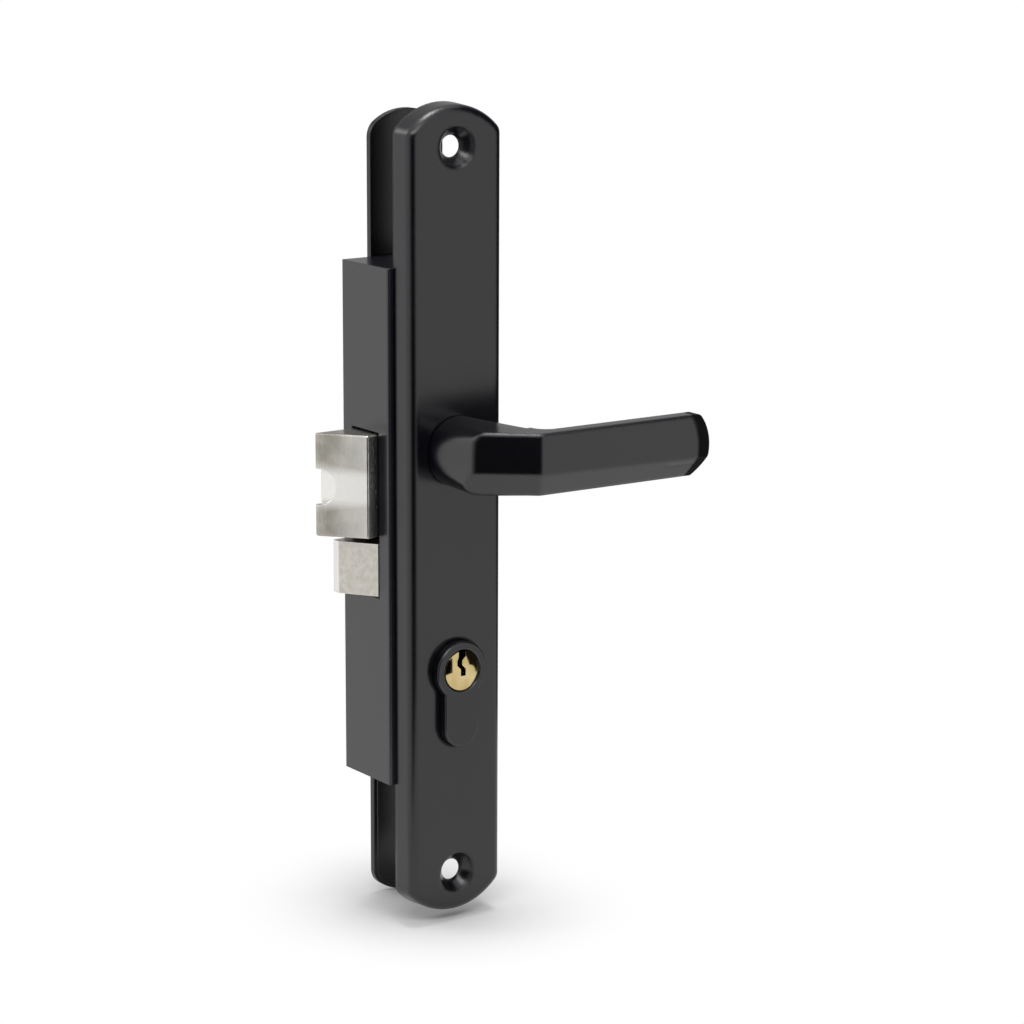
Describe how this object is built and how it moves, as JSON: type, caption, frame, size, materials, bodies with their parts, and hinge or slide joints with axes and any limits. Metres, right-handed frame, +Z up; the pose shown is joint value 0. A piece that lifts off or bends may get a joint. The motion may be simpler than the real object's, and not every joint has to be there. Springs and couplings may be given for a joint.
{
  "type": "lever handle lock",
  "caption": "Lever handle on a long plate with a half cylinder, a slim lock case with a bevelled latch bolt and an auxiliary bolt, and a blank rear plate.",
  "frame": {"origin": "on the lever's turning axis, in the plane where the front plate seats on the door", "axes": "+Z up along the plate, +Y into the door away from the lever, +X towards the lever's tip"},
  "size_m": [0.1025, 0.0728, 0.2536],
  "materials": {
    "plate_powder_coat": "satin black powder coat on die-cast zinc",
    "rear_powder_coat": "satin black powder coat on pressed steel",
    "case_powder_coat": "satin black powder coat on folded steel",
    "lever_powder_coat": "satin black powder coat on die-cast zinc",
    "cap_plastic": "moulded black nylon",
    "bush_plastic": "moulded black acetal",
    "zinc_plated_steel": "bright zinc plate",
    "screw_steel": "blackened steel",
    "spring_steel": "hard-drawn wire and strip",
    "cast_zinc": "die-cast, tumbled",
    "latch_steel": "brushed stainless",
    "aux_steel": "blasted stainless",
    "cylinder_coat": "black lacquer on brass",
    "plug_brass": "turned and polished",
    "pin_brass": "turned",
    "cam_steel": "sintered"
  },
  "bodies": {
    "base": {"front_plate": "plate_powder_coat", "rear_plate": "rear_powder_coat", "lock_case": "case_powder_coat", "case_cover": "case_powder_coat", "case_pillars": "zinc_plated_steel", "cover_screws": "screw_steel", "lever_bush": "bush_plastic", "spring_guide_pins": "zinc_plated_steel", "cylinder_body": "cylinder_coat", "driver_pins": "pin_brass", "pin_springs": "spring_steel", "cylinder_screw": "screw_steel", "lever_spring": "spring_steel", "latch_spring": "spring_steel", "aux_spring": "spring_steel"},
    "lever": {"lever_handle": "lever_powder_coat", "lever_end_cap": "cap_plastic", "retaining_ring": "spring_steel", "stop_plate": "zinc_plated_steel", "spindle": "zinc_plated_steel", "grub_screw": "screw_steel", "follower": "cast_zinc"},
    "latch": {"latch_bolt": "latch_steel", "latch_tail": "zinc_plated_steel", "latch_rivets": "zinc_plated_steel"},
    "aux": {"aux_bolt": "aux_steel"},
    "plug": {"cylinder_plug": "plug_brass", "cylinder_cam": "cam_steel", "plug_ring": "spring_steel", "key_pins": "pin_brass"}
  },
  "joints": [
    {"name": "lever_turn", "type": "hinge", "parent": "base", "child": "lever", "pos_m": [0, 0, 0], "axis": [0, 1, 0], "range_deg": [0, 45], "stiffness_Nm_per_rad": 0.7, "springref_deg": -28.65, "deforming": ["lever_spring"]},
    {"name": "latch_slide", "type": "slide", "parent": "base", "child": "latch", "axis": [1, 0, 0], "range_m": [0, 0.01383], "deforming": ["latch_spring"]},
    {"name": "aux_slide", "type": "slide", "parent": "base", "child": "aux", "axis": [1, 0, 0], "range_m": [0, 0.0075], "stiffness_N_per_m": 250, "springref_m": -0.01, "deforming": ["aux_spring"]},
    {"name": "plug_turn", "type": "hinge", "parent": "base", "child": "plug", "pos_m": [0, 0, -0.068], "axis": [0, 1, 0], "continuous": true}
  ],
  "couplings": [
    {"joint": "latch_slide", "follows": "lever_turn", "m_per_rad": 0.0176}
  ]
}
